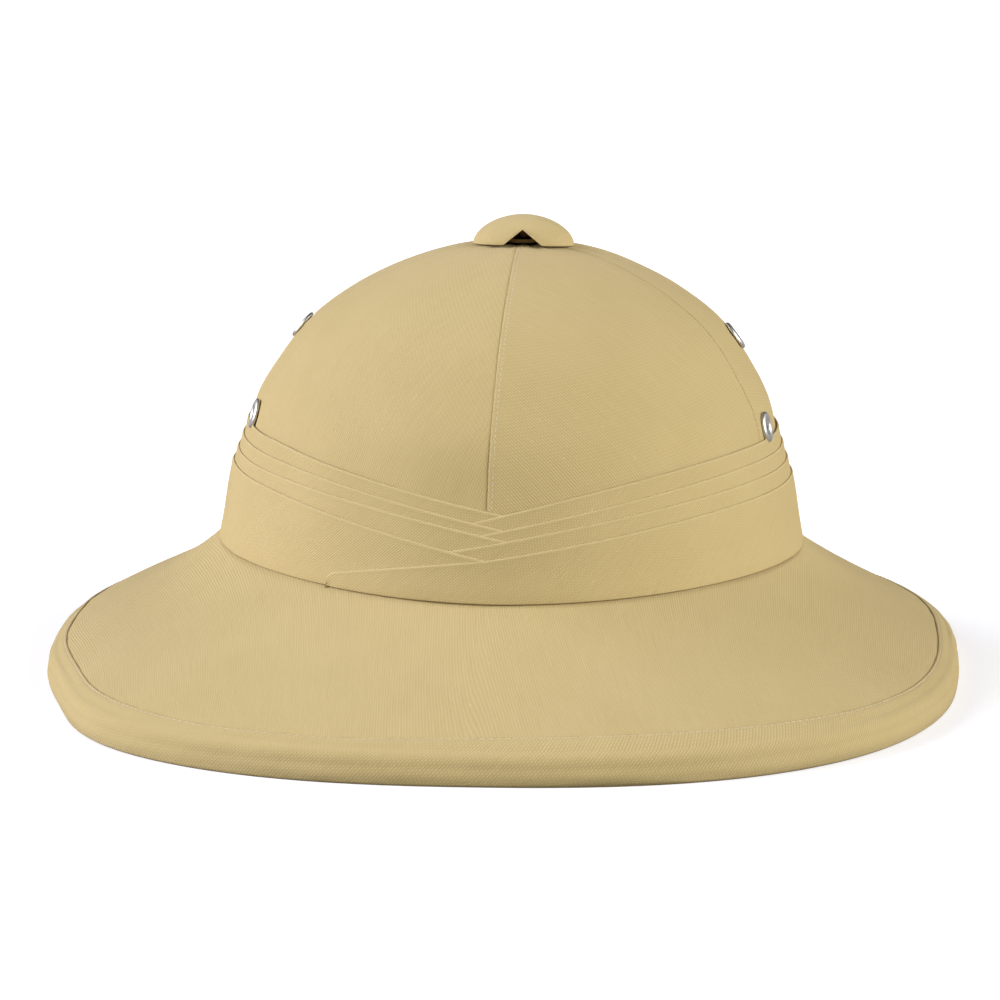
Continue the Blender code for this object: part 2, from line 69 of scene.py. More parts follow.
# Sections of the crown: height above its foot, half width
CROWN_SECTIONS = [
    (0, 98.5),
    (7, 97.2),
    (16, 95.8),
    (31, 92.6),
    (46, 89.2),
    (62, 80.5),
    (74, 71.5),
    (86, 56.5),
    (95, 39.5),
    (101, 21.5),
    (103.3, 0),
]
SECTION_HEIGHTS = np.array([height * MM for height, _ in CROWN_SECTIONS])
SECTION_SQUARES = np.array([(half * MM) ** 2 for _, half in CROWN_SECTIONS])

# Cloth over the crown: each gore's node, the angles of its two seams, its grain's angle, how far its
# first edge stands up, and whether that seam shows its stitches
GORES = [
    ("crown_panel_1", 0, 78, -40, 0.45, True),
    ("crown_panel_2", 78, 125, -20, 0.18, False),
    ("crown_panel_3", 125, 180, -45, 0.18, False),
    ("crown_panel_4", 180, 235, 45, 0.45, True),
    ("crown_panel_5", 235, 282, 20, 0.18, False),
    ("crown_panel_6", 282, 360, 14, 0.18, False),
]
GORE_TOP = 7 * MM
GORE_ROW = 0.8 * MM
GORE_COLUMN = 2.4 * MM
VENT_HOLE = 4.2 * MM
FRONT_SEAM_SHIFT = -1.75 * MM
SEAM_ROLL = 0.45 * MM
SEAM_UNDER = 1.4 * MM
SEAM_STITCH_INSET = 1.9 * MM
SEAM_STITCH_PITCH = 2.0 * MM
SEAM_STITCH_LENGTH = 1.35 * MM
SEAM_STITCH_SINK = 0.16 * MM
SEAM_THREAD_RADIUS = 0.16 * MM
SEAM_PUCKER = 0.16 * MM

# Binding of the brim's edge
BINDING_FOLD = 0.45 * MM
BINDING_HEM = 6 * MM
BINDING_LIP = 5.6 * MM
BINDING_STITCH_INSET = 0.75 * MM
BINDING_STITCH_PITCH = 2.9 * MM
BINDING_STITCH_LENGTH = 2.0 * MM
BINDING_STITCH_SINK = 0.24 * MM
BINDING_THREAD_RADIUS = 0.21 * MM
BINDING_PUCKER = 0.2 * MM
BINDING_BELLY = 0.5 * MM
EDGE_ROUNDING = 3.4 * MM
FOOT_RAISED = (math.radians(13), math.radians(7), 0.9 * MM)

# How far in from the rim the binding was sewn by hand: turn, inset
SEWN_INSETS = [
    (-180, 9.2),
    (-85, 7.6),
    (-66, 8.0),
    (-50, 9.0),
    (-28, 7.9),
    (-8, 8.6),
    (8, 11.6),
    (30, 12.0),
    (56, 8.7),
    (76, 7.9),
    (100, 8.8),
    (140, 9.2),
    (180, 9.2),
]

# Folds of the band: node, angle and height above the crown's foot where its two ends cross at the front,
# then for the +X end and for the other: height of the upper edge at that side, how steeply it comes
# down from there, and how far it stands off the crown
PAGRI_FOLDS = [
    ("pagri_pleat_top", 2.8, 25.9, (38.7, 2.0, 1.3), (38.7, 1.5, 1.0)),
    ("pagri_pleat_middle", 2.8, 21.0, (33.1, 1.8, 1.85), (33.2, 1.8, 1.6)),
    ("pagri_pleat_lower", 3.5, 17.5, (27.6, 2.0, 2.4), (28.3, 2.0, 2.15)),
    ("pagri_wrap", -1.0, 10.9, (21.7, 1.75, 3.0), (23.3, 1.8, 2.7)),
]
CROSSING_REACH = math.radians(68)
CROSSING_OVERLAP = math.radians(14)
WRAP_OVERLAP = math.radians(4)
TUCK_ANGLE = math.radians(-37.2)
TUCK_HEIGHT = 1.4 * MM
TUCK_TIP = 2.5 * MM
FOLD_STEP = 1.1 * MM
FOLD_ROLL = 0.42 * MM
FOLD_RIDGE = 0.08 * MM
FOLD_SETTLE = 0.08 * MM
FOLD_HIDDEN = 3.0 * MM
FOLD_GRAIN = 50
# Painted highlight along each fold's rolled upper edge, row by row, and painted shade along the broad fold's
# turned-in foot, row by row
FOLD_HIGHLIGHT = (0.2, 0.6, 1.0, 1.0, 0.5, 0.1)
FOOT_SHADE = (1.0, 1.0, 0.8, 0.3)

# Lower edge of the broad fold, turned in: distance in from its face, height above the brim, in mm
WRAP_FOOT = [(2.0, 0.5), (1.0, 0.42), (0.4, 0.42), (0.12, 0.55), (0.0, 0.85)]

# Vents: node, angle, height of the centre above the crown's foot
VENTS = [
    ("eyelet_right_front", 83.5, 42.4),
    ("eyelet_right_top", 102, 69.5),
    ("eyelet_right_rear", 118.5, 42.4),
    ("eyelet_left_front", -83.5, 42.4),
    ("eyelet_left_top", -102, 69.5),
    ("eyelet_left_rear", -118.5, 42.4),
]
EYELET_RADIUS = 5.4 * MM
EYELET_BORE = 2.4 * MM
EYELET_WALL = 0.5 * MM
EYELET_RISE = 1.3 * MM
EYELET_DEPTH = 5.8 * MM

# Top button
BUTTON_RADIUS = 17.5 * MM
BUTTON_DEPTH_SHARE = 0.89
BUTTON_BACK = 1.5 * MM
BUTTON_HEIGHT = 9.3 * MM
BUTTON_WALL = 1.3 * MM
BUTTON_POWER = 1.85
NOTCH_WIDTH = 13.5 * MM
NOTCH_HEIGHT = 5.6 * MM
NOTCH_ASIDE = 0.4 * MM
BUTTON_FRONT_LIFT = 0.6 * MM
BUTTON_SEAT = 0.5 * MM

# Camera: its view of the hat as the photograph has it
CAMERA_TARGET = (-1.05 * MM, -4.0 * MM, 60.45 * MM)
CAMERA_ELEVATION = math.radians(10.02)
CAMERA_AZIMUTH = math.radians(3.42)
CAMERA_ROLL = math.radians(0.17)
CAMERA_DISTANCE = 2.0
CAMERA_LENS_MM = 206.36
SENSOR_MM = 36

# Soft lights: name, turn from the front towards +X, elevation, strength, colour
LIGHTS = [
    ("left side light", -88, 25, 2.5, (1.0, 1.0, 1.28)),
    ("left front light", -62, 23, 1.4, (1.0, 1.0, 1.0)),
    ("right front light", 64, 23, 2.55, (1.0, 0.99, 1.0)),
    ("right side light", 88, 25, 0.65, (1.0, 1.0, 1.35)),
]
LIGHT_SOFTNESS = 50
ROOM_AT_SIDES = 0.85
ROOM_ELSEWHERE = 0.01

# Floor: its colour for the light that it throws back, then its colour and glow as the camera sees it
FLOOR_REACH = 8.0
FLOOR_BOUNCE = (0.2, 0.19, 0.17)
FLOOR_SEEN = (0.7, 0.7, 0.7)
FLOOR_GLOW = (0.45, 0.45, 0.45)


def slopes_between(heights, values):
    """Slopes of a smooth curve through the sections that never overshoots them."""
    rises = np.diff(values) / np.diff(heights)
    product = rises[:-1] * rises[1:]
    total = rises[:-1] + rises[1:]
    inner = np.where(product > 0, 2 * product / np.where(total == 0, 1, total), 0.0)
    return np.concatenate([rises[:1], inner, rises[-1:]])


SECTION_SLOPES = slopes_between(SECTION_HEIGHTS, SECTION_SQUARES)


def half_width(height):
    """The crown's half width at a height above its foot. Its square is the smooth curve."""
    height = np.clip(height, 0.0, SECTION_HEIGHTS[-1])
    k = np.clip(np.searchsorted(SECTION_HEIGHTS, height, side="right") - 1, 0, len(SECTION_HEIGHTS) - 2)
    step = SECTION_HEIGHTS[k + 1] - SECTION_HEIGHTS[k]
    u = (height - SECTION_HEIGHTS[k]) / step
    start = (1 + 2 * u) * (1 - u) ** 2 * SECTION_SQUARES[k] + u * (1 - u) ** 2 * step * SECTION_SLOPES[k]
    end = u * u * (3 - 2 * u) * SECTION_SQUARES[k + 1] + u * u * (u - 1) * step * SECTION_SLOPES[k + 1]
    return np.sqrt(np.maximum(start + end, 0.0))


FINE_HEIGHTS = np.linspace(0, SECTION_HEIGHTS[-1], 4000)
FINE_HALVES = half_width(FINE_HEIGHTS)
FINE_LENGTHS = np.concatenate([[0], np.cumsum(np.hypot(np.diff(FINE_HEIGHTS), np.diff(FINE_HALVES)))])


def height_of_half_width(wanted):
    return np.interp(-wanted, -FINE_HALVES, FINE_HEIGHTS)


def height_along(length):
    """The height above the foot at a distance up the crown's wall."""
    return np.interp(length, FINE_LENGTHS, FINE_HEIGHTS)


def length_to(height):
    return np.interp(height, FINE_HEIGHTS, FINE_LENGTHS)


def oval(turn, half_wide, half_long, power=2.0):
    s = np.sin(turn)
    c = np.cos(turn)
    x = half_wide * np.sign(s) * np.abs(s) ** (2 / power)
    y = -half_long * np.sign(c) * np.abs(c) ** (2 / power)
    return x, y


def crown_bare(turn, height):
    """Points of the crown's form: an egg in plan, leaning and tipped a little towards +X."""
    height = np.clip(height, 0.0, CROWN_HEIGHT)
    half = half_width(height)
    x, y = oval(turn, half, half * LENGTH_TO_WIDTH)
    x = x * (1 - NARROWER_AT_FRONT * np.cos(turn))
    lean = CROWN_LEAN * (height / CROWN_HEIGHT) ** LEAN_POWER
    z = FOOT_HEIGHT + height - CROWN_TIP * x
    return np.stack([CROWN_CENTRE[0] + lean + x, CROWN_CENTRE[1] + y, z], axis=-1)


def rim_bare(turn):
    """The brim's outline in plan, a little flatter at the front of its -X side."""
    x, y = oval(turn, BRIM_WIDTH / 2, BRIM_LENGTH / 2, BRIM_POWER)
    off = (turn - FLAT_AT + math.pi) % (2 * math.pi) - math.pi
    kept = 1 - FLAT_SHARE * np.exp(-((off / FLAT_REACH) ** 2))
    return np.stack([x * kept, y * kept, np.full_like(x, EDGE_HEIGHT)], axis=-1)


def brim_bare(turn, out):
    """Points of the brim's form, from the crown's foot at 0 to the rim at 1."""
    foot = crown_bare(turn, np.zeros_like(turn))
    point = foot + (rim_bare(turn) - foot) * out[..., None]
    sag = BRIM_SAG[0] + BRIM_SAG[1] * np.sin(turn)
    skew = BRIM_SKEW[0] + BRIM_SKEW[1] * np.sin(turn)
    point[..., 2] += 4 * out * (1 - out) * (sag + skew * (2 * out - 1))
    return point


def normals(surface, first, second, first_step, second_step):
    along = surface(first + first_step, second) - surface(first - first_step, second)
    up = surface(first, second + second_step) - surface(first, second - second_step)
    facing = np.cross(along, up)
    return facing / np.linalg.norm(facing, axis=-1, keepdims=True)


def crown_facing(turn, height):
    return normals(crown_bare, turn, height, 0.002, 0.2 * MM)


def brim_facing(turn, out):
    return normals(brim_bare, turn, out, 0.002, -0.01)


def crown(turn, height, lift):
    """Points off the crown's form, by turn, height above its foot and distance outwards."""
    turn, height, lift = np.broadcast_arrays(turn, height, lift)
    return crown_bare(turn, height) + lift[..., None] * crown_facing(turn, height)


def brim(turn, out, lift):
    turn, out, lift = np.broadcast_arrays(turn, out, lift)
    return brim_bare(turn, out) + lift[..., None] * brim_facing(turn, out)


def brim_width_at(turn):
    return np.linalg.norm(rim_bare(turn) - crown_bare(turn, np.zeros_like(turn)), axis=-1)


def foot_corner(turn, from_crown, from_brim):
    """Points in the angle between the crown's wall and the brim, by their distances from both."""
    zero = np.zeros_like(turn)
    wall = crown_facing(turn, zero)
    deck = brim_facing(turn, zero)
    facing = (wall * deck).sum(axis=-1, keepdims=True)
    across = from_crown[:, None] * (wall - facing * deck) + from_brim[:, None] * (deck - facing * wall)
    return crown_bare(turn, zero) + across / (1 - facing ** 2)


def sewn_inset(turn):
    """How far in from the rim the binding's seam lies, at a turn."""
    angles = np.array([angle for angle, _ in SEWN_INSETS], dtype=float)
    insets = np.array([inset * MM for _, inset in SEWN_INSETS])
    total = 0.0
    for aside in range(-8, 9, 2):
        total = total + np.interp((np.degrees(turn) + aside + 180) % 360 - 180, angles, insets)
    return total / 9


def rim_outward(turn):
    """The level direction square to the rim."""
    step = 0.002
    along = rim_bare(turn + step) - rim_bare(turn - step)
    side = np.stack([along[..., 1], -along[..., 0], np.zeros_like(turn)], axis=-1)
    return side / np.linalg.norm(side, axis=-1, keepdims=True)


def waves(x, y, size, seed, count=7):
    """Gentle unevenness between about -1 and 1, from a few crossing waves of about one size."""
    chance = np.random.default_rng(seed)
    total = 0.0
    for _ in range(count):
        direction = chance.uniform(0, 2 * math.pi)
        length = size * chance.uniform(0.7, 1.5)
        phase = chance.uniform(0, 2 * math.pi)
        travel = (x * math.cos(direction) + y * math.sin(direction)) / length
        total = total + np.sin(2 * math.pi * travel + phase)
    return total / math.sqrt(count) / 1.4


def bump(distance, width):
    return np.exp(-((distance / width) ** 2))


def smooth(value):
    value = np.clip(value, 0.0, 1.0)
    return value * value * (3 - 2 * value)


def rolled(distance, radius):
    """The rise of a folded edge, from 0 at the edge itself to 1 a radius in."""
    inside = 1 - np.clip(distance / radius, 0.0, 1.0)
    return np.sqrt(1 - inside ** 2)


def grid_mesh(name, points, cloth, ring=False, keep=None, painted_light=None, painted_shade=0.0):
    """A sheet through rows of points, with its place in the flat cloth as its UV map, in metres.

    A second UV map holds painted light, 0 to 1: a painted highlight along folded edges, and painted shade in
    hollows and under edges.
    """
    rows, columns = points.shape[:2]
    index = np.arange(rows * columns).reshape(rows, columns)
    left = index if ring else index[:, :-1]
    right = np.roll(index, -1, axis=1) if ring else index[:, 1:]
    quads = np.stack([left[:-1], right[:-1], right[1:], left[1:]], axis=-1).reshape(-1, 4)
    near = cloth[:, :-1]
    far = cloth[:, 1:]
    corners = np.stack([near[:-1], far[:-1], far[1:], near[1:]], axis=-2).reshape(-1, 4, 2)
    if keep is not None:
        kept = keep.reshape(-1)
        quads = quads[kept]
        corners = corners[kept]
    mesh = bpy.data.meshes.new(name)
    mesh.from_pydata(points.reshape(-1, 3).tolist(), [], quads.tolist())
    mesh.uv_layers.new(name="cloth").data.foreach_set("uv", corners.reshape(-1).astype(np.float32))
    if painted_light is not None:
        highlight_share = np.broadcast_to(painted_light, (rows, columns)).reshape(-1)[quads]
        shade_share = np.broadcast_to(painted_shade, (rows, columns)).reshape(-1)[quads]
        pairs = np.stack([highlight_share, shade_share], axis=-1)
        mesh.uv_layers.new(name="painted_light").data.foreach_set("uv", pairs.reshape(-1).astype(np.float32))
    mesh.shade_smooth()
    mesh.update()
    return mesh


def place(name, mesh, finish, nodes=()):
    """Puts a piece on the hat's body, in a finish, instead of the solids that it stands for."""
    mesh.materials.append(finish)
    piece = bpy.data.objects.new(name, mesh)
    bpy.context.scene.collection.objects.link(piece)
    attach(piece, "root")
    if nodes:
        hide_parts(*nodes)
    return piece


def turned_grid(surface, grain):
    """Flat cloth coordinates turned so that the weave's ribs lie that far from upright."""
    c = math.cos(math.radians(grain))
    s = math.sin(math.radians(grain))
    u = surface[..., 0]
    v = surface[..., 1]
    return np.stack([u * c - v * s, u * s + v * c], axis=-1)


def maths(tree, operation, first, second=0.0, third=0.0):
    node = tree.nodes.new("ShaderNodeMath")
    node.operation = operation
    for socket, value in zip(node.inputs, (first, second, third)):
        if isinstance(value, (int, float)):
            socket.default_value = value
        else:
            tree.links.new(value, socket)
    return node.outputs[0]


def held_in(tree, value):
    """A value kept between 0 and 1."""
    node = tree.nodes.new("ShaderNodeClamp")
    tree.links.new(value, node.inputs["Value"])
    return node.outputs[0]


def mixed(tree, share, low, high):
    """A colour between two, by a share."""
    node = tree.nodes.new("ShaderNodeMix")
    node.data_type = "RGBA"
    for socket, value in ((node.inputs["Factor"], share), (node.inputs[6], low), (node.inputs[7], high)):
        if isinstance(value, bpy.types.NodeSocket):
            tree.links.new(value, socket)
        elif isinstance(value, tuple):
            socket.default_value = (*value, 1)
        else:
            socket.default_value = value
    return node.outputs[2]


def noise(tree, place_socket, scale, detail=2.0, roughness=0.5):
    node = tree.nodes.new("ShaderNodeTexNoise")
    node.inputs["Scale"].default_value = scale
    node.inputs["Detail"].default_value = detail
    node.inputs["Roughness"].default_value = roughness
    tree.links.new(place_socket, node.inputs["Vector"])
    return node.outputs["Fac"]


def stretched(tree, place_socket, turn, scale):
    """Coordinates turned and scaled, for grain that is longer one way."""
    node = tree.nodes.new("ShaderNodeMapping")
    node.inputs["Rotation"].default_value = (0, 0, math.radians(turn))
    node.inputs["Scale"].default_value = scale
    tree.links.new(place_socket, node.inputs["Vector"])
    return node.outputs[0]


def new_group(name, inputs, outputs):
    tree = bpy.data.node_groups.new(name, "ShaderNodeTree")
    for socket_name, kind, value in inputs:
        made = tree.interface.new_socket(name=socket_name, in_out="INPUT", socket_type=kind)
        if value is not None:
            made.default_value = value
    for socket_name, kind in outputs:
        tree.interface.new_socket(name=socket_name, in_out="OUTPUT", socket_type=kind)
    entry = tree.nodes.new("NodeGroupInput")
    leave = tree.nodes.new("NodeGroupOutput")
    return tree, entry.outputs, leave.inputs


def make_twill_group():
    """Twill: round diagonal ribs of short floats, with some yarns thicker or paler than others."""
    tree, given, out = new_group(
        "twill weave",
        [("Cloth", "NodeSocketVector", None), ("Pitch", "NodeSocketFloat", 0.95 * MM)],
        [("Height", "NodeSocketFloat"), ("Yarn", "NodeSocketFloat"), ("Slub", "NodeSocketFloat")],
    )
    scaled = tree.nodes.new("ShaderNodeVectorMath")
    scaled.operation = "SCALE"
    tree.links.new(given["Cloth"], scaled.inputs[0])
    tree.links.new(maths(tree, "DIVIDE", 1.0, given["Pitch"]), scaled.inputs["Scale"])
    flat = scaled.outputs[0]
    split = tree.nodes.new("ShaderNodeSeparateXYZ")
    tree.links.new(flat, split.inputs[0])
    wander = noise(tree, flat, 0.09, 1.0)
    across = maths(tree, "MULTIPLY_ADD", wander, 0.4, split.outputs["X"])
    rib = maths(tree, "COSINE", maths(tree, "MULTIPLY", across, 2 * math.pi))
    rib = maths(tree, "MULTIPLY_ADD", rib, 0.5, 0.5)
    number = maths(tree, "ROUND", across)
    along = maths(tree, "MULTIPLY_ADD", number, 0.37, maths(tree, "MULTIPLY", split.outputs["Y"], 0.62))
    floats = maths(tree, "COSINE", maths(tree, "MULTIPLY", along, 2 * math.pi))
    floats = maths(tree, "MULTIPLY_ADD", floats, 0.22, 0.78)
    tree.links.new(maths(tree, "MULTIPLY", rib, floats), out["Height"])
    yarns = noise(tree, stretched(tree, flat, 45, (1.4, 0.05, 1)), 1.0, 2.0)
    tree.links.new(yarns, out["Yarn"])
    slub = noise(tree, stretched(tree, flat, -45, (1.0, 0.3, 1)), 0.7, 1.0)
    slub = maths(tree, "MULTIPLY", maths(tree, "SUBTRACT", slub, 0.71), 9.0)
    tree.links.new(held_in(tree, slub), out["Slub"])
    return tree


def make_cotton(name, light, dark, pitch, contrast):
    """Khaki cotton twill: paler on the ribs and darker between them, which is painted shade in the weave's
    grooves; unevenly dyed, with a soft nap and painted light from the second UV map.
    """
    made = bpy.data.materials.new(name)
    made.use_nodes = True
    tree = made.node_tree
    shader = tree.nodes["Principled BSDF"]
    where = tree.nodes.new("ShaderNodeUVMap")
    where.uv_map = "cloth"
    weave = tree.nodes.new("ShaderNodeGroup")
    weave.node_tree = TWILL
    weave.inputs["Pitch"].default_value = pitch
    tree.links.new(where.outputs[0], weave.inputs["Cloth"])
    # Darker between the ribs: painted shade in the weave's grooves
    ribs = maths(tree, "MULTIPLY", weave.outputs["Height"], contrast)
    dyed = noise(tree, where.outputs[0], 30.0, 3.0)
    share = maths(tree, "MULTIPLY_ADD", dyed, 0.3, ribs)
    share = maths(tree, "MULTIPLY_ADD", weave.outputs["Yarn"], 0.4, share)
    share = held_in(tree, maths(tree, "ADD", share, 0.15 - contrast / 2))
    colour = mixed(tree, share, dark, light)
    pale = tuple(min(1.0, value * 1.12) for value in light)
    colour = mixed(tree, maths(tree, "MULTIPLY", weave.outputs["Slub"], 0.35), colour, pale)
    # The second UV map paints light: paler along folded edges as a painted highlight, and browner in hollows
    # and under edges as painted shade
    edge = tree.nodes.new("ShaderNodeUVMap")
    edge.uv_map = "painted_light"
    split = tree.nodes.new("ShaderNodeSeparateXYZ")
    tree.links.new(edge.outputs[0], split.inputs[0])
    edge_highlight = (light[0] * 1.2, light[1] * 1.22, light[2] * 1.35)
    colour = mixed(tree, maths(tree, "MULTIPLY", split.outputs["X"], 0.22), colour, edge_highlight)
    colour = mixed(tree, maths(tree, "MULTIPLY", split.outputs["Y"], 0.75), colour, SHADED_KHAKI)
    tree.links.new(colour, shader.inputs["Base Color"])
    shader.inputs["Roughness"].default_value = 0.92
    shader.inputs["Specular IOR Level"].default_value = 0.06
    shader.inputs["Sheen Weight"].default_value = 0.06
    shader.inputs["Sheen Roughness"].default_value = 0.6
    relief = tree.nodes.new("ShaderNodeBump")
    relief.inputs["Strength"].default_value = 0.6
    relief.inputs["Distance"].default_value = 0.16 * MM
    thick = maths(tree, "MULTIPLY_ADD", weave.outputs["Slub"], 0.4, weave.outputs["Height"])
    tree.links.new(thick, relief.inputs["Height"])
    tree.links.new(relief.outputs[0], shader.inputs["Normal"])
    return made


def make_thread(name, colour):
    """Spun cotton thread, paler and smoother than the cloth."""
    made = bpy.data.materials.new(name)
    made.use_nodes = True
    tree = made.node_tree
    shader = tree.nodes["Principled BSDF"]
    where = tree.nodes.new("ShaderNodeTexCoord")
    tone = noise(tree, where.outputs["Object"], 900.0, 2.0)
    dark = tuple(value * 0.75 for value in colour)
    tree.links.new(mixed(tree, tone, dark, colour), shader.inputs["Base Color"])
    shader.inputs["Roughness"].default_value = 0.7
    shader.inputs["Sheen Weight"].default_value = 0.2
    return made


def make_metal(name, colour, tarnish, roughness):
    """Plated metal, dulled in patches and finely scratched."""
    made = bpy.data.materials.new(name)
    made.use_nodes = True
    tree = made.node_tree
    shader = tree.nodes["Principled BSDF"]
    where = tree.nodes.new("ShaderNodeTexCoord")
    patches = noise(tree, where.outputs["Object"], 420.0, 4.0, 0.65)
    tree.links.new(mixed(tree, patches, tarnish, colour), shader.inputs["Base Color"])
    shader.inputs["Metallic"].default_value = 1.0
    rough = maths(tree, "MULTIPLY_ADD", patches, 0.2, roughness)
    tree.links.new(rough, shader.inputs["Roughness"])
    scratches = tree.nodes.new("ShaderNodeBump")
    scratches.inputs["Strength"].default_value = 0.12
    scratches.inputs["Distance"].default_value = 0.05 * MM
    tree.links.new(noise(tree, where.outputs["Object"], 3000.0, 2.0), scratches.inputs["Height"])
    tree.links.new(scratches.outputs[0], shader.inputs["Normal"])
    return made


def make_pith(name, light, dark):
    """Pressed pith: pale, matt and finely pitted, with broad patches."""
    made = bpy.data.materials.new(name)
    made.use_nodes = True
    tree = made.node_tree
    shader = tree.nodes["Principled BSDF"]
    where = tree.nodes.new("ShaderNodeTexCoord")
    grain = noise(tree, where.outputs["Object"], 900.0, 5.0, 0.7)
    patches = noise(tree, where.outputs["Object"], 45.0, 3.0)
    share = maths(tree, "MULTIPLY_ADD", patches, 0.5, maths(tree, "MULTIPLY", grain, 0.6))
    tree.links.new(mixed(tree, held_in(tree, share), dark, light), shader.inputs["Base Color"])
    shader.inputs["Roughness"].default_value = 0.95
    shader.inputs["Specular IOR Level"].default_value = 0.2
    relief = tree.nodes.new("ShaderNodeBump")
    relief.inputs["Strength"].default_value = 0.6
    relief.inputs["Distance"].default_value = 0.3 * MM
    tree.links.new(grain, relief.inputs["Height"])
    tree.links.new(relief.outputs[0], shader.inputs["Normal"])
    return made


TWILL = make_twill_group()
LIGHT_KHAKI = (0.575, 0.459, 0.223)
DARK_KHAKI = (0.430, 0.329, 0.135)
# Brown of the painted shade in hollows, under rolled edges and where the band meets the brim
SHADED_KHAKI = (0.21, 0.12, 0.025)
COTTON = make_cotton("khaki cotton twill", LIGHT_KHAKI, DARK_KHAKI, 0.9 * MM, 0.8)
BRIM_COTTON = make_cotton("khaki brim twill", LIGHT_KHAKI, DARK_KHAKI, 0.9 * MM, 0.45)
BAND_COTTON = make_cotton("khaki band twill", LIGHT_KHAKI, DARK_KHAKI, 0.78 * MM, 0.8)
CAP_COTTON = make_cotton("khaki cap twill", LIGHT_KHAKI, DARK_KHAKI, 0.7 * MM, 0.35)
SEAM_THREAD = make_thread("pale seam thread", (0.60, 0.55, 0.40))
BINDING_THREAD = make_thread("buff binding thread", (0.64, 0.53, 0.30))
NICKEL = make_metal("nickel", (0.90, 0.90, 0.86), (0.72, 0.71, 0.66), 0.26)
BRASS = make_metal("brass", (0.50, 0.32, 0.12), (0.14, 0.08, 0.03), 0.3)
PITH = make_pith("pressed pith", (0.66, 0.57, 0.39), (0.46, 0.37, 0.22))


def vent_places():
    """Each vent's node, centre on the crown's form and facing."""
    for node, angle, height in VENTS:
        turn = np.array([math.radians(angle)])
        up = np.array([height * MM])
        yield node, crown_bare(turn, up)[0], crown_facing(turn, up)[0]


def vent_distance(points):
    """Distance from the nearest vent's centre, and the turn about it."""
    nearest = np.full(points.shape[:-1], 1.0)
    around = np.zeros(points.shape[:-1])
    for _, centre, facing in vent_places():
        side = np.cross(facing, (0.0, 0.0, 1.0))
        side /= np.linalg.norm(side)
        up = np.cross(side, facing)
        offset = points - centre
        distance = np.linalg.norm(offset, axis=-1)
        closer = distance < nearest
        around = np.where(closer, np.arctan2(offset @ up, offset @ side), around)
        nearest = np.where(closer, distance, nearest)
    return nearest, around


def stitch_puckers(distance, along, inset, pitch, depth):
    """Cloth drawn down along a row of stitches, most where the needle went in."""
    holes = 0.5 + 0.5 * np.cos(2 * math.pi * along / pitch)
    return -depth * bump(distance - inset, 0.7 * MM) * (0.5 + 0.5 * holes)


def crown_drape(turn, height):
    """The slight unevenness that all the cloth on the crown follows."""
    x = turn * half_width(0.0)
    return 0.16 * MM * waves(x, height, 48 * MM, 3) + 0.04 * MM * waves(x, height, 13 * MM, 4)


def gore_columns(around, count):
    """Distances from a gore's first seam to just past its last one, close together near both."""
    edge = np.concatenate([np.arange(0, 1.2, 0.15), np.arange(1.2, 4.2, 0.3)]) * MM
    last = np.arange(3.0, -0.01 - SEAM_UNDER / MM, -0.3) * MM
    tight = np.minimum(1.0, around / (12 * MM))
    first_part = edge * tight
    last_part = around - np.where(last > 0, last * tight, last)
    share = np.linspace(0, 1, count + 2)[1:-1]
    middle = first_part[:, -1:] + (last_part[:, :1] - first_part[:, -1:]) * share
    return np.concatenate([first_part, middle, last_part], axis=1)


def seam_turn(angle, heights):
    """The turn of a seam at each height. The one at the front was sewn a little to one side."""
    shift = FRONT_SEAM_SHIFT / half_width(heights) if angle in (0, 360) else np.zeros_like(heights)
    return math.radians(angle) + shift


def make_gores():
    """The crown's six gores. Each one's first edge is folded and laps over the gore before it."""
    lengths = np.arange(0, length_to(height_of_half_width(GORE_TOP)), GORE_ROW)
    heights = height_along(lengths)
    for name, first, last, grain, stands, stitched in GORES:
        start = seam_turn(first, heights)[:, None]
        end = seam_turn(last, heights)[:, None]
        around = (end - start) * half_width(heights)[:, None] * MEAN_RADIUS_SHARE
        from_first = gore_columns(around, round(float(around.max()) / GORE_COLUMN))
        from_last = around - from_first
        turn = start + (end - start) * from_first / around
        up = np.broadcast_to(heights[:, None], turn.shape)
        along = np.broadcast_to(lengths[:, None], turn.shape)
        edge = stands * MM * (rolled(from_first, SEAM_ROLL) * (0.25 + 0.75 * bump(from_first, 5 * MM)) - 0.3)
        lift = edge * smooth(2 - from_first / (9 * MM))
        lift = lift - 0.12 * MM * bump(from_last, 0.7 * MM) - 0.3 * MM * smooth(-from_last / SEAM_UNDER)
        if stitched:
            lift = lift + stitch_puckers(
                from_first, along, SEAM_STITCH_INSET, SEAM_STITCH_PITCH, SEAM_PUCKER
            )
        lift = lift + crown_drape(turn, up)
        away, about = vent_distance(crown_bare(turn, up))
        lift = lift - 0.3 * MM * bump(away - EYELET_RADIUS, 1.2 * MM)
        lift = lift + 0.08 * MM * np.cos(7 * about) * bump(away - 8 * MM, 3.5 * MM)
        points = crown(turn, up, lift)
        middle = points.shape[1] // 2
        steps = np.linalg.norm(np.diff(points, axis=1), axis=-1)
        u = np.concatenate([np.zeros((len(heights), 1)), np.cumsum(steps, axis=1)], axis=1)
        flat = np.stack([u - u[:, middle:middle + 1], along], axis=-1)
        centres = (away[:-1, :-1] + away[1:, 1:]) / 2
        # A painted highlight along the folded edge that laps over the seam
        edge_highlight = 0.6 * bump(from_first - 0.35 * MM, 0.45 * MM) * stands / 0.45
        mesh = grid_mesh(name, points, turned_grid(flat, grain), keep=centres > VENT_HOLE, painted_light=edge_highlight)
        gore = place(f"cloth_{name}", mesh, COTTON, [name])


def brim_turns(step):
    """Turns round the brim from the back, about one step apart along the rim."""
    count = round(math.pi * (BRIM_WIDTH + BRIM_LENGTH) / 2 / step)
    return np.linspace(-math.pi, math.pi, count, endpoint=False)


def brim_drape(points):
    """The slight unevenness that the brim's cloth and its binding share."""
    x = points[..., 0]
    y = points[..., 1]
    return 0.22 * MM * waves(x, y, 62 * MM, 5) + 0.04 * MM * waves(x, y, 16 * MM, 6)


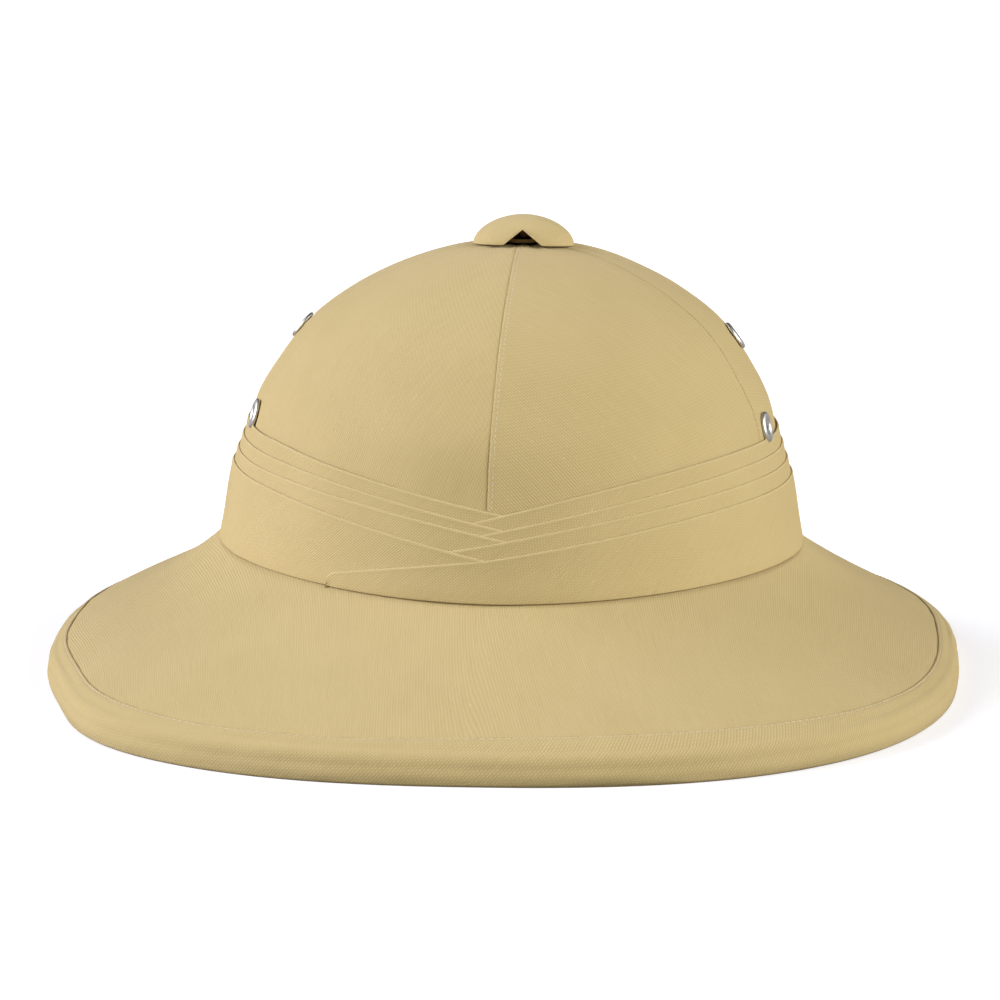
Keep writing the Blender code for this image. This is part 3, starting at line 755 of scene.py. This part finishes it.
def make_brim_cloth():
    """The cloth over the brim, which runs on under the binding's folded edge."""
    turns = brim_turns(1.7 * MM)
    width = brim_width_at(turns)
    shares = np.concatenate([np.linspace(0, 0.9, 42), np.linspace(0.92, 1, 18)])[::-1]
    sewn = sewn_inset(turns)
    out = shares[:, None] * (1 - (sewn - 2 * MM) / width)[None, :]
    turn = np.broadcast_to(turns, out.shape)
    bare = brim_bare(turn, out)
    to_seam = (1 - out) * width - sewn
    from_foot = out * width
    lift = -0.5 * MM * smooth(-to_seam / (1 * MM)) + brim_drape(bare)
    lift = lift - 0.06 * MM * bump(to_seam, 1.0 * MM)
    lift = lift + 0.07 * MM * np.sin(turn * 53) * bump(to_seam, 6 * MM)
    points = brim(turn, out, lift)
    slant = from_foot + half_width(0.0)
    closing = np.concatenate([turns, [math.pi]])
    wide = np.concatenate([slant, slant[:, :1]], axis=1)
    flat = np.stack([wide * np.sin(closing), -wide * np.cos(closing)], axis=-1)
    # Painted shade where the band meets the brim and under the binding's folded edge
    painted_shade = np.maximum(bump(from_foot - 2.6 * MM, 0.8 * MM), smooth(1 - to_seam / (0.5 * MM)))
    edge_highlight = np.zeros((1, 1))
    mesh = grid_mesh("brim_cloth", points, turned_grid(flat, -10), ring=True, painted_light=edge_highlight, painted_shade=painted_shade)
    cloth = place("brim_cloth", mesh, BRIM_COTTON, ["brim_cover"])


def make_binding():
    """The binding: a folded strip sewn on the brim, over its edge, under it and up inside."""
    turns = brim_turns(1.0 * MM)
    side = rim_outward(turns)
    up = np.array([0.0, 0.0, 1.0])
    rim = rim_bare(turns)
    floor = rim * np.array([1.0, 1.0, 0.0])
    width = brim_width_at(turns)
    sewn = sewn_inset(turns)
    raised = FOOT_RAISED[2] * bump(turns - FOOT_RAISED[0], FOOT_RAISED[1])[:, None]
    travel = np.concatenate([[0], np.cumsum(np.linalg.norm(np.diff(rim, axis=0, append=rim[:1]), axis=-1))])
    along = travel[:-1]
    rows = []
    eases = []

    def add(points, ease):
        rows.append(points)
        eases.append(ease)

    for height in np.linspace(BINDING_HEM, 0.9 * MM, 6):
        add(floor - BINDING_LIP * side + height * up, 0.0)
    for inset in np.linspace(BINDING_LIP - 0.5 * MM, 0.9 * MM, 6):
        add(floor - inset * side + 0.02 * MM * up, 0.0)
    face_top = EDGE_HEIGHT - EDGE_ROUNDING
    for share in np.linspace(0, 1, 12):
        belly = BINDING_BELLY * math.sin(math.pi * share)
        height = 0.6 * MM + share * (face_top - 0.6 * MM) + raised * (1 - share) ** 2
        add(floor + belly * side + height * up, min(1.0, 3 * share))
    inner = brim(turns, 1 - EDGE_ROUNDING / width, np.zeros_like(turns))
    outer = floor + face_top * up
    corner = rim + 0.6 * MM * up
    for share in np.linspace(0.1, 0.9, 9):
        add((1 - share) ** 2 * outer + 2 * share * (1 - share) * corner + share ** 2 * inner, 1.0)
    across = sewn - EDGE_ROUNDING
    steps_in = [across * (1 - share) for share in np.linspace(0, 0.85, 14)]
    steps_in += [np.full_like(across, distance * MM) for distance in (0.6, 0.45, 0.3, 0.15, 0.0)]
    for from_fold in steps_in:
        inset = sewn - from_fold
        lift = BINDING_FOLD * rolled(from_fold, 0.45 * MM) * smooth((inset - EDGE_ROUNDING) / (3.5 * MM))
        lift = lift + stitch_puckers(
            from_fold, along, BINDING_STITCH_INSET, BINDING_STITCH_PITCH, BINDING_PUCKER
        )
        drape = brim_drape(brim_bare(turns, 1 - inset / width))
        lift = lift + drape * smooth((inset - EDGE_ROUNDING) / (3.5 * MM))
        add(brim(turns, 1 - inset / width, lift), 0.25 * float(smooth(from_fold.mean() / (4 * MM))))
    add(brim(turns, 1 - (sewn - 0.5 * MM) / width, -0.4 * MM), 0.0)
    points = np.stack(rows)
    eases = np.array(eases)
    steps = np.linalg.norm(np.diff(points, axis=0), axis=-1).mean(axis=1)
    v = np.concatenate([[0], np.cumsum(steps)])
    facing = np.cross(np.roll(points, -1, axis=1) - np.roll(points, 1, axis=1), np.gradient(points, axis=0))
    facing /= np.maximum(np.linalg.norm(facing, axis=-1, keepdims=True), 1e-12)
    ease = 0.12 * MM * waves(along[None], v[:, None] * 2.5, 24 * MM, 8)
    ease = ease + 0.28 * MM * waves(along[None], v[:, None] * 0.6, 75 * MM, 9)
    points = points + facing * (ease * eases[:, None])[..., None]
    flat = np.stack(np.broadcast_arrays(travel[None, :], v[:, None]), axis=-1)
    # A painted highlight along the binding's folded inner edge and the strip tucked under it
    edge_highlight = np.zeros((len(points), 1))
    edge_highlight[-4:] = 0.6
    mesh = grid_mesh("binding", points, turned_grid(flat, 42), ring=True, painted_light=edge_highlight)
    binding = place("binding", mesh, COTTON, ["brim_binding"])


def fold_line(fold, turn):
    """Height above the crown's foot of a fold's upper edge, at a turn from its +X end to its other end.

    It runs level round the back and the sides, falls to the crossing at the front, and goes on past it.
    """
    _, angle, crossing, right_end, left_end = fold
    is_right = turn < math.pi
    crossed = math.radians(angle)
    past = np.where(is_right, turn - crossed, 2 * math.pi + crossed - turn) / CROSSING_REACH
    side = np.where(is_right, right_end[0], left_end[0])
    power = np.where(is_right, right_end[1], left_end[1])
    share = np.where(past > 0, (1 - np.clip(past, 0.0, 1.0)) ** power, 1 - power * past)
    return (side - (side - crossing) * share) * MM


def tucked_line(fold, turn):
    """The upper edge of the band's last end, which goes down past the crossing until it is tucked in."""
    crossing = math.radians(fold[1])
    past = np.clip((crossing - turn) / (crossing - TUCK_ANGLE), 0.0, 1.0)
    low = TUCK_HEIGHT + (fold[2] * MM - TUCK_HEIGHT) * (1 - 0.66 * past - 0.34 * past ** 2)
    return np.where(turn < crossing, low, fold_line(fold, turn))


def lowest_of(fold, turn):
    """The lower of a fold's two edge lines, where its ends lie over each other at the front."""
    other = np.where(turn < math.pi, turn + 2 * math.pi, turn - 2 * math.pi)
    crossed = np.abs(turn - math.pi) > math.pi - CROSSING_REACH
    own = fold_line(fold, turn)
    return np.where(crossed, np.minimum(own, fold_line(fold, other)), own)


def fold_stand(fold, turn):
    """How far a fold stands off the crown: at the front its +X end lies over its other end."""
    lapped = smooth(1 - turn / CROSSING_REACH)
    under = smooth(1 - (2 * math.pi - turn) / CROSSING_REACH)
    middle = (fold[3][2] + fold[4][2]) / 2
    return (middle + (fold[3][2] - middle) * lapped + (fold[4][2] - middle) * under) * MM


def fold_lift(turns, height, stand):
    """The fold's distance from the crown, pressed down where it passes under a vent's flange."""
    away, _ = vent_distance(crown_bare(turns, height))
    pressed = smooth((6.6 * MM - away) / (0.9 * MM))
    return stand * (1 - pressed) + 0.15 * MM * pressed + crown_drape(turns, height)


def fold_turns(fold, is_wrap):
    crossing = math.radians(fold[1])
    first = TUCK_ANGLE if is_wrap else crossing - CROSSING_OVERLAP
    last = 2 * math.pi + crossing + (WRAP_OVERLAP if is_wrap else CROSSING_OVERLAP)
    steps = round((last - first) * half_width(0.0) * MEAN_RADIUS_SHARE / FOLD_STEP)
    return np.linspace(first, last, steps)


def make_folds():
    """The band's folds, each with a rolled upper edge, from its +X end round to its other end."""
    for number, fold in enumerate(PAGRI_FOLDS):
        is_wrap = number + 1 == len(PAGRI_FOLDS)
        turns = fold_turns(fold, is_wrap)
        stand = fold_stand(fold, turns)
        rows = []
        if is_wrap:
            tip = np.sqrt(np.clip((turns - turns[0]) * half_width(0.0) / TUCK_TIP, 0.0, 1.0))
            top = tucked_line(fold, turns) * np.where(turns < 0, tip, 1.0) + 0.3 * MM
            bottom = np.minimum(1.8 * MM, top * 0.6)
            for inwards, raised in WRAP_FOOT:
                raised = np.minimum(raised * MM, bottom * 0.8)
                rows.append(foot_corner(turns, np.maximum(stand - inwards * MM, 0.2 * MM), raised))
        else:
            top = fold_line(fold, turns)
            bottom = np.minimum(lowest_of(PAGRI_FOLDS[number + 1], turns) - FOLD_HIDDEN, top - 1 * MM)
            bottom = np.maximum(bottom, 0.5 * MM)
        tall = top - bottom
        fine = np.minimum(1.0, tall / (4 * MM))
        shares = np.linspace(0, 1, 16 if is_wrap else 9)
        below_top = [tall - (tall - 2 * MM * fine) * share for share in shares]
        below_top +=[distance * MM * fine for distance in (1.5, 1.1, 0.8, 0.55, 0.35, 0.15, 0.0)]
        for below in below_top:
            ridge = FOLD_RIDGE * bump(below - 0.4 * MM, 0.55 * MM)
            settled = stand + ridge - FOLD_SETTLE * smooth(below / (6 * MM))
            rows.append(crown(turns, top - below, fold_lift(turns, top - below, settled)))
        for angle in (40, 80, 120, 160):
            a = math.radians(angle)
            height = top + FOLD_ROLL * math.sin(a)
            lift = fold_lift(turns, height, stand + 0.05 * MM - FOLD_ROLL * (1 - math.cos(a)))
            rows.append(crown(turns, height, lift))
        rows.append(crown(turns, np.maximum(top - 1.2 * MM, 0.1 * MM), stand - 2.2 * FOLD_ROLL))
        points = np.stack(rows)
        x = turns * half_width(0.0)
        steps = np.linalg.norm(np.diff(points, axis=0), axis=-1)
        v = np.concatenate([np.zeros((1, len(turns))), np.cumsum(steps, axis=0)])
        v = v - v[-6:-5] + top
        flat = np.stack([np.broadcast_to(x, v.shape), v], axis=-1)
        # The rolled upper edge gets a painted highlight along its top and painted shade under it; the broad
        # fold's turned-in foot gets painted shade
        edge_highlight = np.zeros((len(rows), 1))
        edge_highlight[-8:-2, 0] = FOLD_HIGHLIGHT
        painted_shade = np.zeros((len(rows), 1))
        painted_shade[-3:] = 0.5
        if is_wrap:
            painted_shade[:4, 0] = FOOT_SHADE
        mesh = grid_mesh(fold[0], points, turned_grid(flat, FOLD_GRAIN), painted_light=edge_highlight, painted_shade=painted_shade)
        strip = place(f"band_{fold[0][6:]}", mesh, BAND_COTTON, [fold[0]])


def spun_mesh(name, profile, sides):
    """A turned piece round its own Z axis, from (radius, height) pairs, closed on itself."""
    turns = 2 * math.pi * np.arange(sides) / sides
    shape = np.array(profile + profile[:1])
    height = np.broadcast_to(shape[:, 1:], (len(shape), sides))
    points = np.stack([shape[:, :1] * np.cos(turns), shape[:, :1] * np.sin(turns), height], axis=-1)
    cloth = np.zeros((len(shape), sides + 1, 2))
    return grid_mesh(name, points, cloth, ring=True)


def make_eyelets():
    """Metal eyelets: a barrel through the cloth and the form, with a domed flange outside."""
    barrel = EYELET_BORE + EYELET_WALL
    middle = (EYELET_RADIUS + EYELET_BORE) / 2
    reach = (EYELET_RADIUS - EYELET_BORE) / 2
    profile = [(EYELET_BORE, -EYELET_DEPTH), (EYELET_BORE, 0.1 * MM)]
    for share in np.linspace(0.06, 0.94, 14):
        a = math.pi * share
        rise = 0.25 * MM + (EYELET_RISE - 0.25 * MM) * math.sin(a) ** 0.8
        profile.append((middle - reach * math.cos(a), rise))
    profile += [(EYELET_RADIUS, 0.1 * MM), (EYELET_RADIUS - 0.25 * MM, 0.0), (barrel, 0.05 * MM)]
    profile += [(barrel, -EYELET_DEPTH)]
    for node, centre, facing in vent_places():
        piece = place(f"metal_{node}", spun_mesh(node, profile[::-1], 48), NICKEL, [node])
        turned = Vector(facing.tolist()).to_track_quat("Z", "Y").to_matrix().to_4x4()
        piece.matrix_world = Matrix.Translation(Vector(centre.tolist())) @ turned


def button_centre():
    x = CROWN_CENTRE[0] + CROWN_LEAN
    return np.array([x, CROWN_CENTRE[1] + BUTTON_BACK, FOOT_HEIGHT + CROWN_HEIGHT])


def crown_top_at(x, y):
    """Height of the crown under a point near its top, given from the button's centre."""
    spread = np.hypot(x, (y + BUTTON_BACK) / LENGTH_TO_WIDTH)
    return FOOT_HEIGHT + height_of_half_width(spread) - CROWN_TIP * x


def button_ring(turns, share, wall):
    """A ring of the cap, from its rim at share 0 to its top at 1, drawn up at the front into a peak."""
    centre = button_centre()
    x = (BUTTON_RADIUS - wall) * np.sin(turns)
    y = -(BUTTON_RADIUS * BUTTON_DEPTH_SHARE - wall) * np.cos(turns)
    seat = crown_top_at(x, y) + BUTTON_SEAT + BUTTON_FRONT_LIFT * np.clip(np.cos(turns), 0.0, 1.0)
    top = centre[2] + BUTTON_HEIGHT - wall
    spread = math.cos(share * math.pi / 2) ** (2 / BUTTON_POWER)
    lift = math.sin(share * math.pi / 2) ** (2 / BUTTON_POWER)
    peak = NOTCH_HEIGHT * np.clip(1 - np.abs(x - NOTCH_ASIDE) / (NOTCH_WIDTH / 2), 0, 1) * (y < 0)
    z = np.maximum(seat + (top - seat) * lift, seat + peak * (1 - 0.12 * share))
    return np.stack([centre[0] + x * spread, centre[1] + y * spread, z], axis=-1)


def make_button():
    """The ventilator cap: a cloth dome, open at the front in a small peaked notch."""
    turns = np.linspace(0, 2 * math.pi, 240, endpoint=False)
    shares = np.concatenate([np.linspace(0, 0.94, 34), [0.97, 0.985, 0.9999]])
    inner = np.stack([button_ring(turns, share, BUTTON_WALL) for share in shares[::-1]])
    rolled_edge = np.stack([button_ring(turns, 0.0, BUTTON_WALL * share) for share in (0.8, 0.5, 0.2)])
    rolled_edge[..., 2] -= np.array([0.12, 0.2, 0.12])[:, None] * MM
    outer = np.stack([button_ring(turns, share, 0.0) for share in shares])
    points = np.concatenate([inner, rolled_edge, outer])
    steps = np.linalg.norm(np.diff(points, axis=0), axis=-1).mean(axis=1)
    reach = np.concatenate([[0], np.cumsum(steps)])
    reach = np.abs(reach - reach[-1])[:, None]
    closing = np.concatenate([turns, [2 * math.pi]])
    flat = np.stack([reach * np.sin(closing), -reach * np.cos(closing)], axis=-1)
    mesh = grid_mesh("button", points, turned_grid(flat, 20), ring=True)
    cap = place("button", mesh, CAP_COTTON, ["top_button"])


def stitches(name, centres, ahead, facing, lie, finish):
    """A row of short threads, each lying along the row and bending down into the cloth at both ends.

    How each one lies is its length, its thread's radius and how far its ends go down.
    """
    length, radius, sink = lie
    sides = 6
    stations = np.array([-0.5, -0.42, -0.2, 0.2, 0.42, 0.5])
    fullness = np.array([0.2, 0.8, 1.0, 1.0, 0.8, 0.2])
    turns = 2 * math.pi * np.arange(sides) / sides
    across = np.cross(facing, ahead)
    beside = np.cos(turns)[None, :] * fullness[:, None] * radius
    above = np.sin(turns)[None, :] * fullness[:, None] * radius - (4 * stations[:, None] ** 2) * sink
    base = centres[:, None, None, :] + ahead[:, None, None, :] * (stations * length)[None, :, None, None]
    base = base + across[:, None, None, :] * beside[None, :, :, None]
    points = base + facing[:, None, None, :] * above[None, :, :, None]
    index = np.arange(len(centres) * len(stations) * sides).reshape(len(centres), len(stations), sides)
    right = np.roll(index, -1, axis=2)
    quads = np.stack([index[:, :-1], right[:, :-1], right[:, 1:], index[:, 1:]], axis=-1).reshape(-1, 4)
    mesh = bpy.data.meshes.new(name)
    mesh.from_pydata(points.reshape(-1, 3).tolist(), [], quads.tolist())
    mesh.shade_smooth()
    return place(name, mesh, finish)


def row_direction(centres):
    ahead = np.gradient(centres, axis=0)
    return ahead / np.linalg.norm(ahead, axis=-1, keepdims=True)


def make_seam_stitches():
    """The top-stitching beside the front and the back seam."""
    lengths = np.arange(12 * MM, length_to(height_of_half_width(GORE_TOP)), SEAM_STITCH_PITCH)
    heights = height_along(lengths + SEAM_STITCH_PITCH / 2)
    for name, first, _, _, stands, stitched in GORES:
        if not stitched:
            continue
        turn = seam_turn(first, heights) + SEAM_STITCH_INSET / (half_width(heights) * MEAN_RADIUS_SHARE)
        lift = stands * MM * 0.6 - 0.1 * MM + crown_drape(turn, heights)
        centres = crown(turn, heights, lift)
        lie = (SEAM_STITCH_LENGTH, SEAM_THREAD_RADIUS, SEAM_STITCH_SINK)
        facing = crown_facing(turn, heights)
        stitches(f"seam_stitches_{name[-1]}", centres, row_direction(centres), facing, lie, SEAM_THREAD)


def make_binding_stitches():
    """The stitches that hold the binding's folded edge down on the brim."""
    turns = np.linspace(-math.pi, math.pi, 8000)
    travel = np.concatenate([[0], np.cumsum(np.linalg.norm(np.diff(rim_bare(turns), axis=0), axis=-1))])
    places = np.arange(BINDING_STITCH_PITCH / 2, travel[-1], BINDING_STITCH_PITCH)
    turn = np.interp(places, travel, turns)
    out = 1 - (sewn_inset(turn) - BINDING_STITCH_INSET) / brim_width_at(turn)
    centres = brim(turn, out, BINDING_FOLD - 0.05 * MM + brim_drape(brim_bare(turn, out)))
    lie = (BINDING_STITCH_LENGTH, BINDING_THREAD_RADIUS, BINDING_STITCH_SINK)
    facing = brim_facing(turn, out)
    stitches("binding_stitches", centres, row_direction(centres), facing, lie, BINDING_THREAD)


def finish_kept_nodes():
    """The solids that show as they are get their own finish."""
    kept = {"crown_shell_wall": PITH, "crown_shell_dome": PITH, "brim_shell": PITH, "button_post": BRASS}
    for node, finish in kept.items():
        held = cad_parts[node]
        held.data.materials.clear()
        held.data.materials.append(finish)


def add_sun(name, turn, elevation, strength, colour):
    """A very soft light from one side, at a turn from the front towards +X."""
    light = bpy.data.lights.new(name, "SUN")
    light.energy = strength
    light.angle = math.radians(LIGHT_SOFTNESS)
    light.color = colour
    lamp = bpy.data.objects.new(name, light)
    bpy.context.scene.collection.objects.link(lamp)
    level = math.cos(math.radians(elevation))
    aside = math.sin(math.radians(turn)) * level
    ahead = -math.cos(math.radians(turn)) * level
    towards = Vector((aside, ahead, math.sin(math.radians(elevation))))
    lamp.rotation_euler = towards.to_track_quat("Z", "Y").to_euler()


def make_room(sides, rest):
    """A plain bright room, brighter at its two sides than in front and overhead."""
    world = bpy.data.worlds.new("bright room")
    world.use_nodes = True
    tree = world.node_tree
    where = tree.nodes.new("ShaderNodeTexCoord")
    split = tree.nodes.new("ShaderNodeSeparateXYZ")
    tree.links.new(where.outputs["Generated"], split.inputs[0])
    aside = maths(tree, "MULTIPLY", split.outputs["X"], split.outputs["X"])
    strength = maths(tree, "MULTIPLY_ADD", aside, sides - rest, rest)
    tree.links.new(strength, tree.nodes["Background"].inputs["Strength"])
    tree.nodes["Background"].inputs["Color"].default_value = (1.0, 0.99, 0.92, 1)
    bpy.context.scene.world = world


def make_floor():
    """A pale paper floor, which shows white and throws only part of its light back up."""
    sides = [(-1, -1), (1, -1), (1, 1), (-1, 1)]
    corners = [(x * FLOOR_REACH, y * FLOOR_REACH, 0) for x, y in sides]
    mesh = bpy.data.meshes.new("floor")
    mesh.from_pydata(corners, [], [(0, 1, 2, 3)])
    floor = bpy.data.objects.new("floor", mesh)
    bpy.context.scene.collection.objects.link(floor)
    paper = bpy.data.materials.new("pale paper")
    paper.use_nodes = True
    tree = paper.node_tree
    seen = tree.nodes.new("ShaderNodeLightPath").outputs["Is Camera Ray"]
    shader = tree.nodes["Principled BSDF"]
    tree.links.new(mixed(tree, seen, FLOOR_BOUNCE, FLOOR_SEEN), shader.inputs["Base Color"])
    tree.links.new(mixed(tree, seen, (0, 0, 0), FLOOR_GLOW), shader.inputs["Emission Color"])
    shader.inputs["Emission Strength"].default_value = 1.0
    shader.inputs["Roughness"].default_value = 0.9
    mesh.materials.append(paper)


def make_studio():
    """Soft light from both sides, stronger on the left, with little from overhead."""
    make_floor()
    make_room(ROOM_AT_SIDES, ROOM_ELSEWHERE)
    for light in LIGHTS:
        add_sun(*light)
    bpy.context.scene.view_settings.view_transform = "Standard"


def make_camera():
    """The photograph's view: level with the brim's far side, a little to the right of the front."""
    sin_a = math.sin(CAMERA_AZIMUTH)
    cos_a = math.cos(CAMERA_AZIMUTH)
    level = math.cos(CAMERA_ELEVATION)
    back = Vector((sin_a * level, -cos_a * level, math.sin(CAMERA_ELEVATION)))
    right = Vector((cos_a, sin_a, 0))
    up = back.cross(right)
    rolled_right = right * math.cos(CAMERA_ROLL) + up * math.sin(CAMERA_ROLL)
    rolled_up = up * math.cos(CAMERA_ROLL) - right * math.sin(CAMERA_ROLL)
    data = bpy.data.cameras.new("camera")
    data.lens = CAMERA_LENS_MM
    data.sensor_width = SENSOR_MM
    data.clip_start = 0.1
    data.clip_end = 50
    camera = bpy.data.objects.new("camera", data)
    bpy.context.scene.collection.objects.link(camera)
    turned = Matrix((rolled_right, rolled_up, back)).transposed().to_4x4()
    camera.matrix_world = Matrix.Translation(Vector(CAMERA_TARGET) + back * CAMERA_DISTANCE) @ turned
    bpy.context.scene.camera = camera


make_camera()
make_studio()
make_gores()
make_brim_cloth()
make_binding()
make_folds()
make_eyelets()
make_button()
make_seam_stitches()
make_binding_stitches()
finish_kept_nodes()
